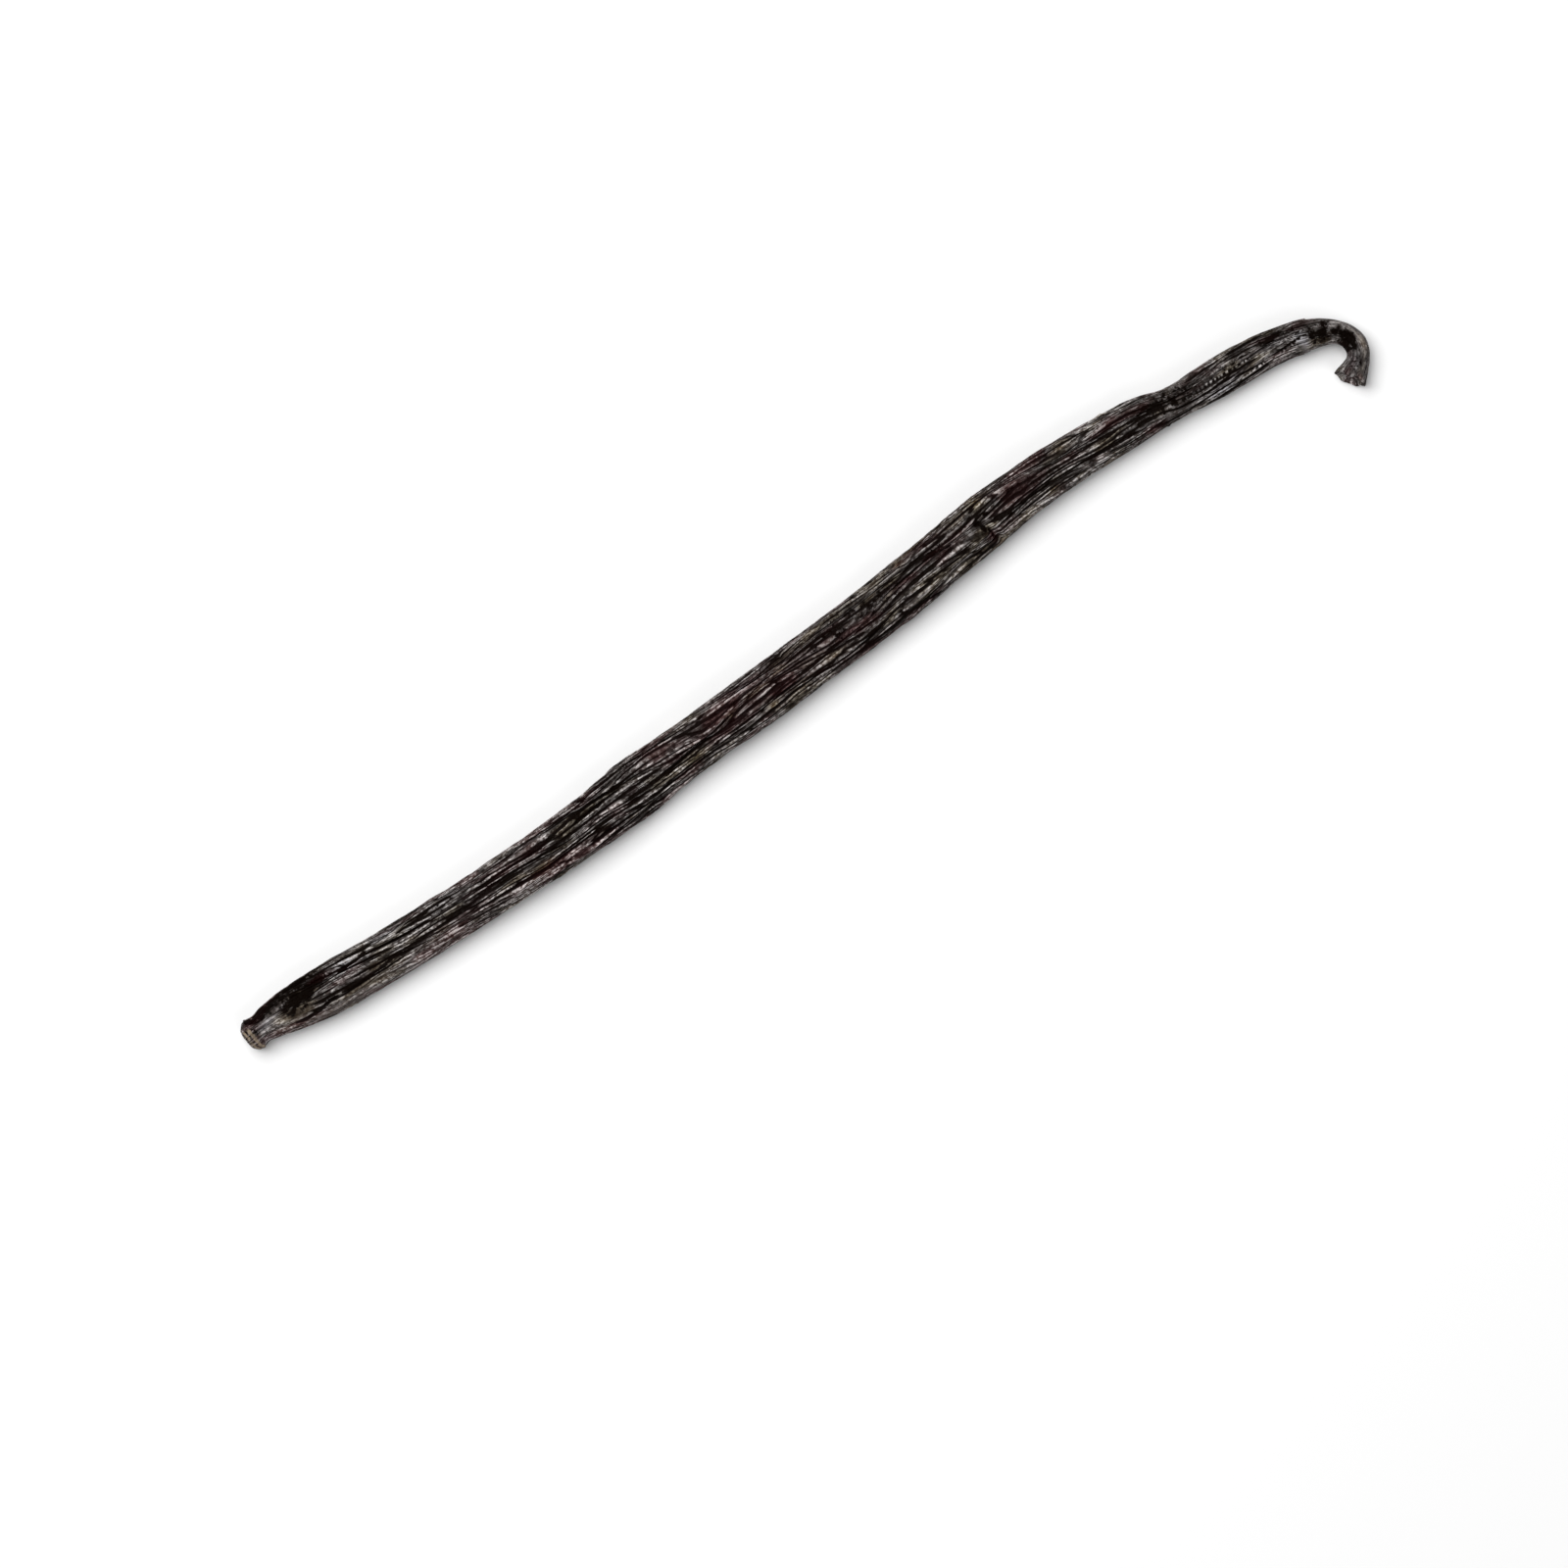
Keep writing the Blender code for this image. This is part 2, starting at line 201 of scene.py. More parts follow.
# Long furrows that run over the back, seen from above: half width, depth, and points x, y.
LONG_FURROWS = (
    (0.20, 0.26, ((5.6, -1.2), (7.6, -1.56), (9.2, -1.64), (10.8, -1.44), (13.2, -1.24))),
    (0.15, 0.32, ((12.6, -1.3), (15.6, -1.25), (16.8, -1.4), (19.0, -1.3), (21.6, -1.0))),
    (0.13, 0.28, ((14.4, -0.5), (17.0, -0.55), (20.8, -0.9), (25.0, -1.08), (31.6, -1.0))),
    (0.13, 0.32, ((13.2, 1.1), (17.6, 1.2), (21.4, 0.76), (24.0, 0.5), (27.4, 0.38))),
    (0.14, 0.22, ((21.8, 1.32), (24.6, 1.2), (28.0, 1.3))),
    (0.14, 0.34, ((32.8, 0.3), (39.0, 0.35), (42.4, 0.2), (45.4, 0.7), (48.0, 1.2), (56.6, 1.42))),
    (0.13, 0.32, ((29.6, -1.0), (33.2, -0.8), (34.2, -0.62), (44.4, -0.64), (52.6, -0.1), (61.6, 0.3))),
    (0.14, 0.22, ((48.6, -2.1), (50.4, -1.7), (55.6, -1.56), (58.0, -1.4))),
    (0.12, 0.22, ((43.6, 1.7), (49.6, 2.0), (53.0, 2.7), (59.6, 3.2))),
    (0.15, 0.24, ((69.6, -1.0), (72.4, -0.85), (75.2, -0.6))),
    (0.13, 0.24, ((66.0, 0.3), (69.6, -0.2), (74.0, -0.1))),
    (0.14, 0.26, ((80.0, 2.5), (84.4, 2.85), (88.0, 2.95), (91.0, 2.95), (94.5, 3.3), (98.5, 3.6))),
    (0.14, 0.24, ((78.6, 0.1), (85.1, 0.64), (87.4, 0.5), (92.0, 0.3))),
    (0.13, 0.24, ((81.0, -0.9), (84.4, -0.8), (87.4, -0.2), (90.5, -0.33), (96.9, 0.78), (102.0, 1.1))),
    (0.14, 0.26, ((84.0, -1.5), (88.5, -1.3), (93.3, -1.1), (96.9, -0.68), (102.0, -0.6))),
    (0.14, 0.26, ((89.0, 0.9), (93.5, 1.05), (96.9, 1.9), (99.6, 2.17), (104.0, 2.6))),
    (0.14, 0.26, ((97.6, 3.8), (101.0, 4.4), (106.0, 4.9))),
    (0.12, 0.28, ((111.0, 2.9), (118.0, 3.05), (124.2, 3.05), (133.1, 2.44))),
    (0.12, 0.24, ((117.0, 4.24), (127.6, 4.24), (134.0, 3.9))),
    (0.12, 0.20, ((132.0, 4.4), (137.0, 3.6), (141.6, 3.3))),
    (0.13, 0.28, ((131.6, 3.2), (135.7, 2.78), (137.8, 2.1), (139.8, 1.85), (143.3, 1.8), (146.0, 2.1))),
    (0.12, 0.20, ((133.0, 1.8), (138.0, 1.2), (141.0, 1.15), (147.0, 1.15))),
    (0.13, 0.26, ((139.6, 2.38), (144.0, 2.36), (146.4, 2.1), (150.0, 1.95))),
    (0.15, 0.26, ((145.0, 1.5), (150.6, 0.95))),
    (0.12, 0.24, ((139.6, 0.48), (144.2, 0.42), (151.0, 0.6))),
    (0.13, 0.26, ((139.6, 4.4), (145.4, 4.5))),
    (0.17, 0.36, ((145.8, 4.5), (148.8, 4.35), (151.8, 4.1))),
    (0.13, 0.26, ((150.6, 1.15), (153.4, 1.15), (156.4, 1.2))),
)
LINE_FADE = 1.6  # how far each long furrow, bead row or fold takes to reach its full strength

# Rows of small glossy beads, painted as highlights, given the same way, their strength in place of a
# depth.
BEAD_ROWS = (
    (0.10, 1.0, ((140.0, 2.66), (145.0, 2.62), (149.6, 2.3))),
    (0.10, 0.9, ((140.4, 0.72), (146.1, 0.83), (149.2, 0.9), (152.2, 0.7))),
    (0.10, 0.8, ((150.6, 0.72), (153.4, 0.86), (156.6, 1.1))),
    (0.09, 0.8, ((151.4, 2.15), (154.0, 1.95), (156.4, 1.75))),
)
BEAD_GAP = 0.62

# Raised folds, given the same way.
FOLDS = (
    (0.22, 0.20, ((3.0, 1.4), (5.6, 1.9), (8.0, 2.2), (10.4, 2.75))),
    (0.35, 0.14, ((2.2, 0.9), (3.4, 0.5), (5.0, -0.3))),
)

# Pits and nubs on the back: x, y, half length, half breadth, and depth.
PITS = (
    (39.4, -1.95, 0.30, 0.16, 0.20),
    (80.5, 3.9, 0.18, 0.7, 0.30),  # nick in the upper edge
    (109.7, 4.0, 0.50, 0.42, 0.26),
    (110.0, 3.2, 0.30, 0.30, -0.20),
    (110.3, 2.2, 0.30, 0.55, 0.22),
    (106.1, -0.3, 0.16, 0.30, -0.28),
    (129.4, 6.9, 0.26, 0.30, -0.34),
    (135.8, 0.95, 0.20, 0.24, -0.20),
    (155.4, 0.3, 0.45, 0.9, -0.12),  # last lobe, and the step beyond it
    (156.35, 0.3, 0.25, 1.0, 0.16),
)

END_BOW = 0.65  # how far the blossom end's sides are drawn back
END_BOW_MIDDLE = 0.2  # the share of it that the middle juts out by
END_BOW_RUN = 2.0

# Rings round the blossom end's lip.
LIP_RINGS = 2
LIP_LENGTH = 1.3
LIP_RING_HEIGHT = 0.05

# The closed ends, from the outer ring inwards: share of its size, and how far it is sunk.
END_PROFILE = (
    (0.95, -0.05),
    (0.89, -0.07),
    (0.83, -0.02),
    (0.76, 0.14),
    (0.66, 0.30),
    (0.46, 0.33),
    (0.24, 0.30),
    (0.02, 0.32),
)
END_ROUGHNESS = 0.09
END_GRAIN = 1.4  # how many times the noise changes in a millimetre
END_SEED = 81.3

# Marks on the skin.

GROOVE_FULL = 0.22  # the depth of a furrow whose painted shade is fully dark
TOP_SHARPNESS = 4.0  # how soon a mark on the back fades over the sides

# Marks on the back: x, y, half length, half breadth, and strength. Some are painted shade, as
# noted. Dark ones that are below zero make their stretch lighter.
DARK_AND_SHADE_MARKS = (
    (1.0, 2.3, 0.5, 0.4, 0.9),  # top of the blossom end's lip
    (1.55, 0.3, 0.2, 1.2, 0.8),  # line behind the lip
    (2.8, 2.0, 1.6, 0.6, 1.1),  # painted shade along the back's upper edge
    (5.2, 2.65, 2.2, 0.5, 1.1),
    (9.0, 3.05, 3.0, 0.4, 1.0),
    (14.0, 3.1, 4.0, 0.3, 0.8),
    (24.0, 2.35, 5.0, 0.3, 0.7),
    (20.0, -0.2, 6.0, 2.2, -0.3),
    (50.0, -0.6, 9.0, 2.6, -0.5),
    (6.0, 0.9, 1.0, 0.7, 0.6),  # painted shade in the hollow
    (8.4, 1.05, 1.6, 1.0, 1.15),
    (11.4, 1.75, 2.3, 0.7, 0.8),
    (7.2, -0.2, 2.0, 0.6, 0.4),
    (28.6, 0.4, 0.7, 1.6, 0.5),
    (51.6, 1.35, 2.3, 0.35, 0.6),
    (8.0, 1.8, 5.0, 1.4, 0.25),
    (91.5, 2.2, 9.5, 2.6, 0.42),
    (103.0, 3.9, 2.4, 0.7, 0.5),
    (109.4, 3.9, 0.42, 0.42, 1.6),  # painted shade in the crease
    (109.8, 2.9, 0.26, 0.5, 1.5),
    (110.2, 3.7, 0.30, 0.32, 1.0),
    (110.4, 1.7, 0.22, 0.85, 1.6),
    (111.0, 4.3, 0.5, 0.22, 1.0),
    (116.0, 5.2, 4.0, 0.6, 0.4),
    (137.0, 3.2, 4.0, 1.9, 0.5),  # waist
    (136.6, 4.3, 3.4, 0.9, 0.4),
    (147.0, 2.9, 6.0, 1.4, 0.45),
    (144.5, 0.8, 5.0, 0.6, -0.5),
    (151.5, 1.0, 1.6, 0.7, 0.35),
    (152.2, 3.0, 1.5, 0.45, 0.8),
    (154.8, 2.5, 1.2, 0.35, 0.6),
    (156.4, 0.8, 0.3, 1.3, 0.8),  # the step beyond the pod's end
    (157.9, -0.1, 0.6, 0.7, 0.5),
    (158.3, 1.2, 1.1, 0.6, 0.15),
    (159.4, -0.5, 0.9, 0.6, 0.55),
    (159.9, -2.0, 0.8, 1.25, 0.7),  # inside the stem's bend
    (160.3, -2.4, 0.45, 1.0, 0.9),
    (159.2, -5.8, 1.8, 1.8, 0.6),
)
# The same along and round the bean: distance along, degrees, half length, half breadth, strength.
DARK_AND_SHADE_BANDS = (
    # painted shade along the back's upper side, the whole bean long
    (84.0, 65.0, 80.0, 24.0, 0.18),
    (158.4, 100.0, 1.7, 75.0, 0.62),  # beyond the pod's end
    (162.1, 150.0, 1.7, 40.0, 0.95),  # inside the stem's bend
)
# Dull red marks. Those below zero take the red of the patches away.
RED_MARKS = (
    (28.5, -2.3, 4.0, 1.0, 0.5),
    (44.0, -2.6, 7.0, 0.8, 0.6),
    (77.0, 1.5, 10.0, 2.0, 0.6),
    (92.2, 1.4, 1.5, 0.6, 0.6),
    (97.4, 2.8, 1.6, 0.6, 0.6),
    (102.5, 5.6, 3.0, 0.6, 0.6),
    (110.4, 1.2, 0.6, 0.8, 0.7),
    (112.5, 1.5, 2.5, 0.5, 0.5),
    (116.5, 6.3, 5.0, 0.7, 0.4),
    (129.6, 5.6, 1.6, 0.6, 0.5),
    (133.7, 1.5, 0.6, 0.5, 0.6),
    (158.4, -7.1, 0.4, 0.5, 0.7),
    (139.0, 2.4, 4.0, 1.6, -0.8),
    (131.0, 3.6, 4.0, 1.6, -0.4),
    (158.5, 1.2, 2.4, 1.6, -0.9),
    (161.0, -2.5, 1.5, 2.5, -0.9),
)
# Olive marks.
OLIVE_MARKS = (
    (6.8, -0.7, 2.2, 0.7, 0.3),
    (42.0, -2.0, 2.0, 0.5, 0.9),
    (65.0, -1.0, 1.8, 0.7, 0.9),
    (71.6, 0.9, 0.7, 0.4, 0.8),
    (76.6, -1.0, 0.9, 0.6, 0.9),
    (98.6, 5.2, 0.8, 0.5, 0.8),
    (110.6, 6.2, 1.1, 1.0, 1.0),
    (119.5, 2.2, 1.0, 0.4, 0.8),
)
# Painted grey sheen, over the flecks and the ridges' tone.
GREY_SHEEN_MARKS = (
    (3.0, 0.6, 1.1, 0.5, 0.9),
    (4.6, 0.9, 0.8, 0.6, 0.6),
    (2.2, -1.1, 0.7, 0.4, 0.7),
    (15.5, 1.5, 2.6, 0.9, 0.7),
    (21.0, 1.8, 1.9, 0.6, 0.7),
    (30.0, 1.4, 1.6, 0.7, 0.6),
    (74.4, 3.2, 1.4, 0.5, 0.6),
    (79.4, 3.9, 1.0, 0.4, 0.6),
    (144.0, 1.0, 3.5, 0.7, 0.9),
    (151.8, 2.2, 1.6, 0.5, 0.6),
    (155.2, 0.5, 0.7, 1.2, 1.4),  # painted highlight on the rim of the pod's last lobe
    (161.7, -1.6, 0.5, 2.2, 0.5),
    (159.2, -5.2, 1.4, 1.6, 0.6),
    (155.0, 1.3, 0.8, 0.6, 0.7),
)
# Smooth stretches with few flecks of painted highlight, and, below zero, stretches with more of them.
PLAIN_MARKS = (
    (3.2, 0.5, 1.2, 0.6, 0.4),
    (7.2, -0.7, 2.4, 0.8, 0.9),
    (9.5, -2.6, 5.0, 0.8, 0.7),
    (17.0, -2.9, 6.0, 0.7, 0.5),
    (17.8, -1.0, 3.0, 0.3, 0.75),
    (14.3, 1.3, 1.6, 1.2, -0.8),
    (20.0, 1.0, 8.0, 1.5, -0.5),
    (50.0, -0.4, 10.0, 2.6, -0.6),
    (113.6, 3.9, 2.2, 0.7, 0.6),
    (136.5, 3.8, 3.6, 1.3, 0.2),
    (144.5, 1.1, 3.8, 0.7, -0.9),
    (154.4, 1.9, 1.1, 0.7, -1.4),
    (155.1, 0.3, 0.6, 0.9, 0.8),
    (161.3, -3.2, 0.8, 3.0, 0.6),
    (158.6, -5.9, 1.6, 1.4, 0.25),
)
PLAIN_LINES = 0.65  # how much paler the painted shade of the lines is in them
# The blossom end's lip is tan as far as this distance, and below this y. Each limit fades out.
TAN_LENGTH, TAN_LENGTH_FADE = 1.35, 0.2
TAN_EDGE, TAN_EDGE_FADE = 1.5, 0.3

# Finish.

BLACK_BROWN = (0.0027, 0.0011, 0.0004, 1.0)
BLACK_RED = (0.0052, 0.0010, 0.0008, 1.0)
MIDDLE_BROWN = (0.085, 0.066, 0.058, 1.0)
# Painted highlight: the pale colour that the flecks along the ridges are painted with.
PAINTED_HIGHLIGHT = (0.640, 0.600, 0.585, 1.0)
# Tints, which the brown is multiplied by.
RED_TINT = (1.0, 0.56, 0.57, 1.0)
OLIVE_TINT = (1.15, 1.0, 0.55, 1.0)
# painted grey sheen
GREY_SHEEN = (0.400, 0.395, 0.425, 1.0)
SCAR_TAN = (0.270, 0.213, 0.155, 1.0)
SCAR_RING_GAP = 2 / 3  # between two of the lip's dark rings

# Noises over the skin: changes a millimetre, across the bean twice and along it, then their
# detail and their roughness.
NOISES = {
    "glints": ((2.3, 2.3, 0.26), 3.0, 0.6),
    "grain": ((4.2, 4.2, 2.0), 2.0, 0.6),
    "blotches": ((1.1, 1.1, 0.9), 3.0, 0.7),
    "patches": ((0.55, 0.55, 0.16), 2.0, 0.5),
    "bead_shifts": ((1.0, 1.0, 0.7), 2.0, 0.6),
    "bead_gaps": ((1.5, 1.5, 0.9), 2.0, 0.6),
    "scar_shifts": ((0.6, 0.6, 0.4), 3.0, 0.6),
    "scar_mottles": ((1.6, 1.6, 1.6), 2.0, 0.6),
}
# Cracks between long flat cells, painted as shade: scale round the bean and along it, width as a
# share of a cell, and how dark they are.
CRACKS = ((1.2, 0.09), 0.09, 0.9)
FINE_CRACKS = ((2.3, 0.09), 0.15, 0.85)
CRACK_CORE = 1 / 3  # the share of a crack's width that is fully dark

# How one value becomes another: its low and high, then what they become. Past either end, the
# value is held.
PLAIN_TO_CRACKS = (0.0, 1.0, 1.0, 0.3)
GROOVE_TO_LINE = (0.14, 0.48, 0.0, 1.0)
BLOTCHES_TO_DARK = (0.38, 0.62, 0.5, 1.4)
GRAIN_TO_DARK = (0.3, 0.7, -0.25, 0.25)
DARK_RANGE = (0.1, 0.65, 0.0, 1.0)
GLINTS_TO_TONE = (0.36, 0.60, 0.35, 1.0)
GLINTS_TO_HIGHLIGHT = (0.42, 0.60, 0.15, 1.0)
GRAIN_TO_HIGHLIGHT = (0.42, 0.58, 0.05, 1.0)
PATCHES_TO_RED = (0.50, 0.64, 0.0, 0.8)
PATCHES_TO_OLIVE = (0.44, 0.34, 0.0, 0.5)
PALE_TO_RED_TINT = (0.0, 1.0, 1.0, 0.22)
HIGHLIGHT_TO_OLIVE_TINT = (0.0, 0.7, 1.0, 0.1)
HIGHLIGHT_TO_COAT = (0.0, 1.0, 0.02, 1.0)
GRAIN_TO_ROUGHNESS = (0.35, 0.7, 0.45, 0.65)
WAVE_TO_BEAD = (-0.1, 0.6, 0.0, 1.0)
GAPS_TO_BEAD = (0.42, 0.58, 0.2, 1.0)
WAVE_TO_SCAR = (-0.7, 0.5, 0.0, 1.0)
MOTTLES_TO_SCAR = (0.36, 0.52, 0.25, 1.0)

BEAD_SHIFT = 1.6  # how far noise moves the beads along their rows, in millimetres
TONE_PALENESS, HIGHLIGHT_PALENESS = 0.7, 2.0  # how much each takes the red tint away
TONE_SHEEN = 0.55  # how much of the painted grey sheen shows between the flecks of painted highlight
LINE_HEIGHT = 0.25  # how deep lines are in the bump, as a share of the grain
BUMP_DISTANCE = 0.00025  # in metres
COAT_ROUGHNESS = 0.25
SPECULAR = 0.02  # the gloss is the coat's
MIX_FIRST, MIX_SECOND, MIX_RESULT = 6, 7, 2  # the sockets of a mix node that hold colours

# Stage.

CAMERA_LENS = 120.0
CAMERA_HEIGHT = 642.4
CAMERA_AT = (-8.51, -9.23)
CAMERA_TURN = -33.4
FLOOR_SIZE = 6000.0
FLOOR_ROUGHNESS, FLOOR_SPECULAR = 0.9, 0.1
FLOOR_COLOUR = (0.86, 0.86, 0.86, 1.0)
# The soft boxes don't reach the far floor, so it glows from this far out, in metres.
GLOW_START, GLOW_FULL = 0.35, 1.5
FLOOR_GLOW = 0.85
SKY_COLOUR = (1.0, 1.0, 1.0, 1.0)
SKY_STRENGTH = 0.2
# Soft boxes: name, place, size and power. The key's shadow falls to the picture's lower right.
SOFT_BOXES = (
    ("key", (-120.0, 380.0, 740.0), 780.0, 9.5),
    ("fill", (200.0, -900.0, 770.0), 900.0, 3.6),
)


def noise_round(turn, reach, along, seed):
    """Smooth noise from about -1 to 1, wrapped round the bean and running along it."""
    x, y, z = np.broadcast_arrays(np.cos(turn) * reach + seed, np.sin(turn) * reach, along + seed)
    values = [noise.noise(Vector(p)) for p in zip(x.flat, y.flat, z.flat)]
    return np.array(values).reshape(x.shape)


def curve_through(knots, values, places):
    """A smooth curve through one row of values at each knot, read at the places."""
    slopes = np.gradient(values, knots, axis=0)
    i = np.clip(np.searchsorted(knots, places, side="right") - 1, 0, len(knots) - 2)
    gap = (knots[i + 1] - knots[i])[:, None]
    t = ((places - knots[i])[:, None]) / gap
    rise = values[i + 1] - values[i]
    start, end = slopes[i] * gap, slopes[i + 1] * gap
    return values[i] + t * start + t**2 * (3 * rise - 2 * start - end) + t**3 * (start + end - 2 * rise)


def ring_places(length):
    """Distances from the blossom end to each ring, by RING_GAPS."""
    at, gaps = np.array(RING_GAPS).T
    places = [0.0]
    while places[-1] < length:
        places.append(places[-1] + np.interp(places[-1], at, gaps))
    return np.array(places) * length / places[-1]


def spine():
    """The distance to each ring, the stations' values there, and the direction of the spine."""
    stations = np.array(STATIONS)
    steps = np.linalg.norm(np.diff(stations[:, :2], axis=0), axis=1)
    knots = np.concatenate([[0.0], np.cumsum(steps)])
    places = ring_places(knots[-1])
    rows = curve_through(knots, stations, places)
    ahead = curve_through(knots, stations, np.minimum(places + NUDGE, knots[-1]))
    behind = curve_through(knots, stations, np.maximum(places - NUDGE, 0.0))
    along = (ahead - behind)[:, :2]
    along /= np.linalg.norm(along, axis=1)[:, None]
    return places, rows, along


def furrow_angles(track, place):
    """The angle of each furrow round the bean at each place. Track counts furrows round it."""
    turn = track * FURROW_GAP
    wander = noise_round(turn, WANDER_REACH, place / WANDER_RUN, WANDER_SEED)
    flow = noise_round(0.0, FLOW_REACH, place / FLOW_RUN, FLOW_SEED)
    return turn + FLOW_TURN * flow + FURROW_GAP * WANDER_SHARE * wander


def bend(turn, place):
    return FURROW_GAP * BEND_SHARE * noise_round(turn, BEND_REACH, place / BEND_RUN, BEND_SEED)


def furrow_depths(place):
    """The depth of each of the furrows at each place."""
    track = np.arange(FURROWS)[None, :]
    swing = noise_round(track * FURROW_GAP, DEPTH_REACH, place / FURROW_RUN, DEPTH_SEED)
    return FURROW_DEPTH * np.clip(MIDDLE_DEPTH + DEPTH_SWING * swing, LEAST_DEPTH, 1.0)


def ridge_slit_depths(place):
    """The depth of the thin furrow along the top of each ridge."""
    track = np.arange(FURROWS)[None, :] + 0.5
    swing = noise_round(track * FURROW_GAP, RIDGE_SLIT_REACH, place / RIDGE_SLIT_RUN, RIDGE_SLIT_SEED)
    return RIDGE_SLIT_DEPTH * np.clip(RIDGE_SLIT_MIDDLE + RIDGE_SLIT_SWING * swing, LEAST_DEPTH, 1.0)


def slit(off, half_width):
    return np.exp(-((off / half_width) ** 2))


def furrow_relief(track, place):
    """Depth of the skin at each place round the bean: all of it, and the share in narrow slits."""
    depths = furrow_depths(place)
    left = np.floor(track).astype(int)[0]
    right = (left + 1) % FURROWS
    share = track - left
    valley = depths[:, left] * np.clip(1 - 2 * share, 0, 1) ** 2
    valley = valley + depths[:, right] * np.clip(2 * share - 1, 0, 1) ** 2
    slits = SLIT_SHARE * depths[:, left] * slit(share, SLIT_HALF_WIDTH)
    slits = slits + SLIT_SHARE * depths[:, right] * slit(share - 1, SLIT_HALF_WIDTH)
    slits = slits + ridge_slit_depths(place)[:, left] * slit(share - 0.5, RIDGE_SLIT_HALF_WIDTH)
    return (1 - SLIT_SHARE) * valley + slits, slits


def angle_from(angle, degrees):
    """How far each angle is from one in degrees, the short way round, in degrees."""
    return (np.degrees(angle) - degrees + 180.0) % 360.0 - 180.0


def spots(angle, place, table):
    """The sum of the table's spots at each place round the bean, each one fading from its middle."""
    total = np.zeros(np.broadcast(angle, place).shape)
    for at, degrees, half_length, half_breadth, most in table:
        off = ((place - at) / half_length) ** 2 + (angle_from(angle, degrees) / half_breadth) ** 2
        total += most * np.exp(-off)
    return total


def marks(plan, top, table):
    """The sum of the table's marks, which are placed as seen from above, on the back alone."""
    total = np.zeros(top.shape)
    for x, y, half_length, half_breadth, most in table:
        off = ((plan[0] - x) / half_length) ** 2 + ((plan[1] - y) / half_breadth) ** 2
        total += most * np.exp(-off)
    return total * top


def drawn_lines(plan, top, table):
    """How deep the table's long lines are at each point seen from above."""
    deepest = np.zeros(top.shape)
    for half_width, depth, points in table:
        x, y = np.array(points).T
        line = curve_through(x, y[:, None], np.clip(plan[0].ravel(), x[0], x[-1])).reshape(top.shape)
        ends = np.minimum(plan[0] - x[0], x[-1] - plan[0]) / LINE_FADE
        across = np.exp(-(((plan[1] - line) / half_width) ** 2))
        deepest = np.maximum(deepest, depth * np.clip(ends, 0, 1) * across)
    return deepest * top


def pod_end_relief(angle, place):
    """The swelling of the pod's last ridges, and the share of their depth that furrows keep."""
    end = POD_END + POD_END_LOBE_LENGTH * np.cos(POD_END_LOBES * angle)
    past = place - end
    swell = np.where(past < 0, np.exp(-((past / POD_END_RUN) ** 2)), 0.0)
    return POD_END_SWELL * swell, np.where(past < 0, 1.0, STEM_FURROWS)


def crease_relief(angle, place):
    top, low = CREASE_ANGLES
    share = (np.degrees(angle) % 360.0 - top) / (low - top)
    ends = np.clip(1 - (2 * share - 1) ** 4, 0, 1)
    line = CREASE_AT + CREASE_SLANT * share
    return CREASE_DEPTH * ends * np.exp(-(((place - line) / CREASE_HALF_WIDTH) ** 2))


def smooth_skin(rows, angle, place):
    """Each ring before its relief: how far sideways and up its points are, and which way they face."""
    half_width, half_thickness, lift = (column[:, None] for column in rows.T[2:])
    cosine, sine = np.cos(angle), np.sin(angle)
    lobes = 1 + LOBE_SHARE * np.cos(LOBES * angle + place / LOBE_RUN * math.tau)
    power = 2 / SQUARENESS
    sideways = half_width * np.sign(cosine) * np.abs(cosine) ** power * lobes
    upward = half_thickness * np.sign(sine) * np.abs(sine) ** power * lobes
    facing = np.stack([cosine / half_width, sine / half_thickness])
    facing /= np.linalg.norm(facing, axis=0)
    return sideways, upward + half_thickness + lift, facing


def lip_rings(place):
    """The rings round the blossom end's lip."""
    share = np.clip(place / LIP_LENGTH, 0, 1)
    return -LIP_RING_HEIGHT * np.sin(share * LIP_RINGS * math.tau) * (share < 1)


def scar_tan(plan, place):
    """How tan the skin of the blossom end's lip is."""
    near_end = np.clip((TAN_LENGTH - place) / TAN_LENGTH_FADE, 0, 1)
    return near_end * np.clip((TAN_EDGE - plan[1]) / TAN_EDGE_FADE, 0, 1)


def fine_wrinkles(turn, place):
    """Narrow grooves where smooth noise changes its sign, so they meander, part and meet."""
    total = 0.0
    for reach, run, half_width, depth, seed in WRINKLES:
        value = noise_round(turn, reach, place / run, seed)
        total = total + depth * np.exp(-((value / half_width) ** 2))
    return total


def fine_bumps(turn, place):
    total = 0.0
    for reach, run, height, seed in BUMPS:
        total = total + height * noise_round(turn, reach, place / run, seed)
    return total


def seen_from_above(rows, along, sideways):
    x = rows[:, 0:1] - sideways * along[:, 1:2]
    y = rows[:, 1:2] + sideways * along[:, 0:1]
    return x, y


